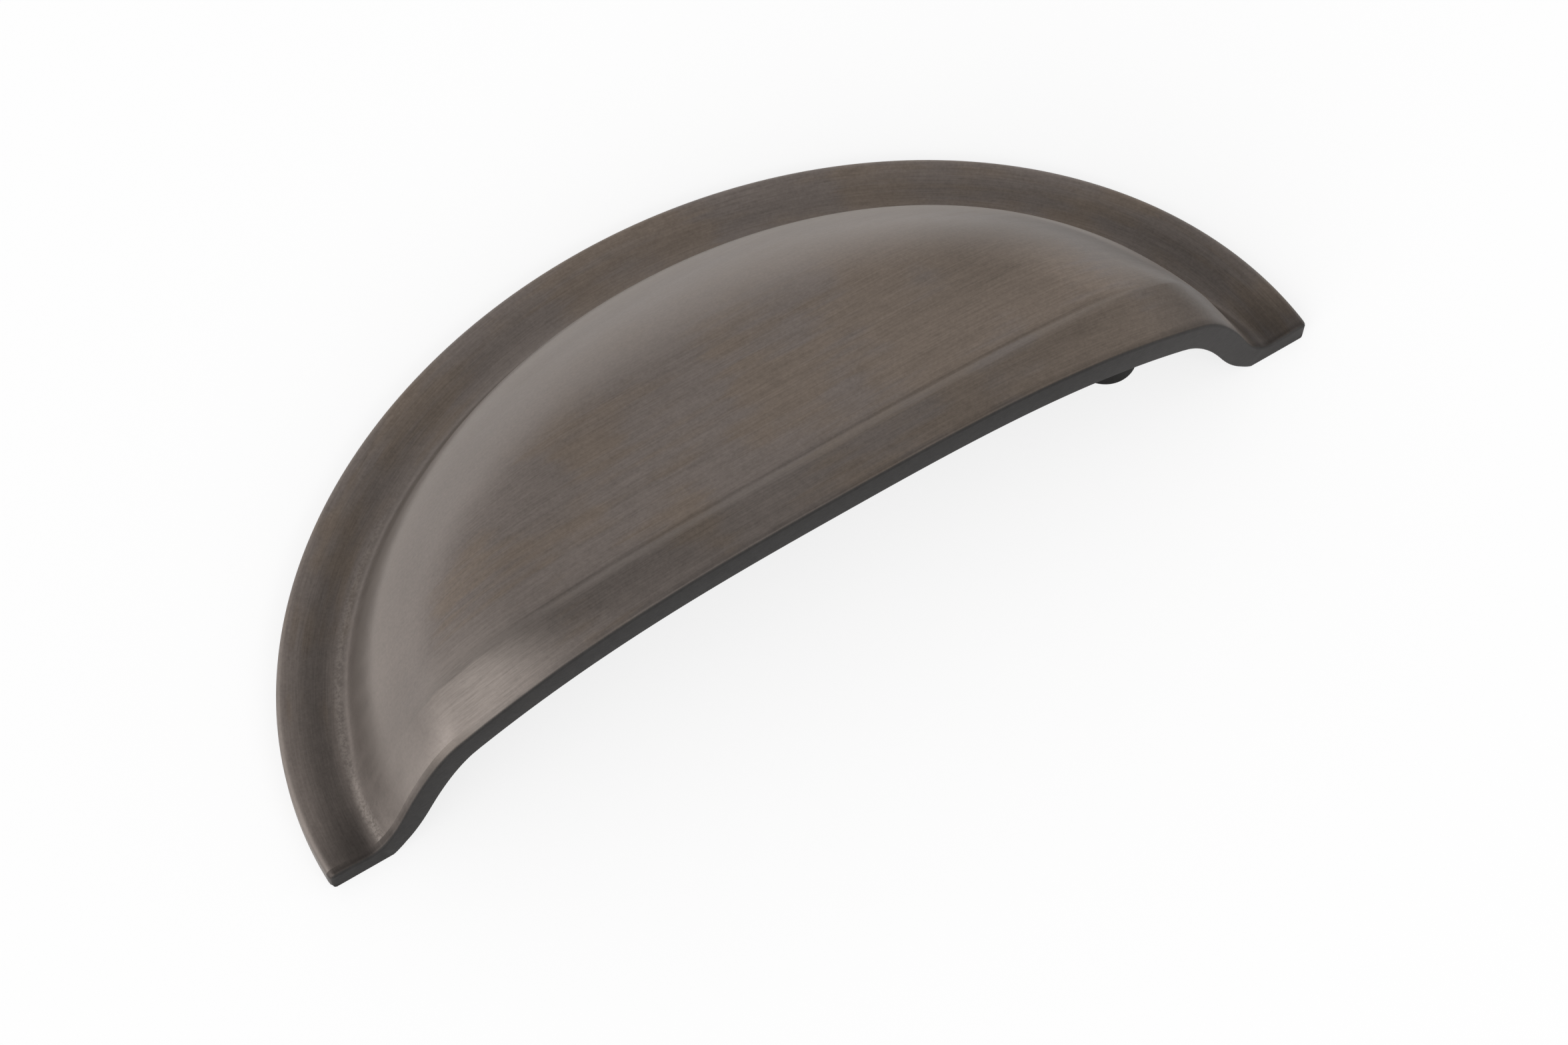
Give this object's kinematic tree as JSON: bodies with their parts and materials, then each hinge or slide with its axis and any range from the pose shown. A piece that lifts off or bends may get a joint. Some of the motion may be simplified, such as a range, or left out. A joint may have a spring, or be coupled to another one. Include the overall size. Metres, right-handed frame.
{
  "type": "drawer pull",
  "caption": "Half-moon cup pull for a drawer: a hollow cup on a thin flange, open along its straight side, with tapped posts inside.",
  "frame": {"origin": "midway between the two screw holes, on the flat back face that lies against the drawer front", "axes": "+X along the straight side, +Y towards the top of the curve, +Z away from the drawer front"},
  "size_m": [0.114, 0.0465, 0.0236],
  "materials": {
    "brushed_metal": "dark warm grey, fine brushing, satin"
  },
  "bodies": {
    "root": {"cup_pull": "brushed_metal"}
  },
  "joints": []
}
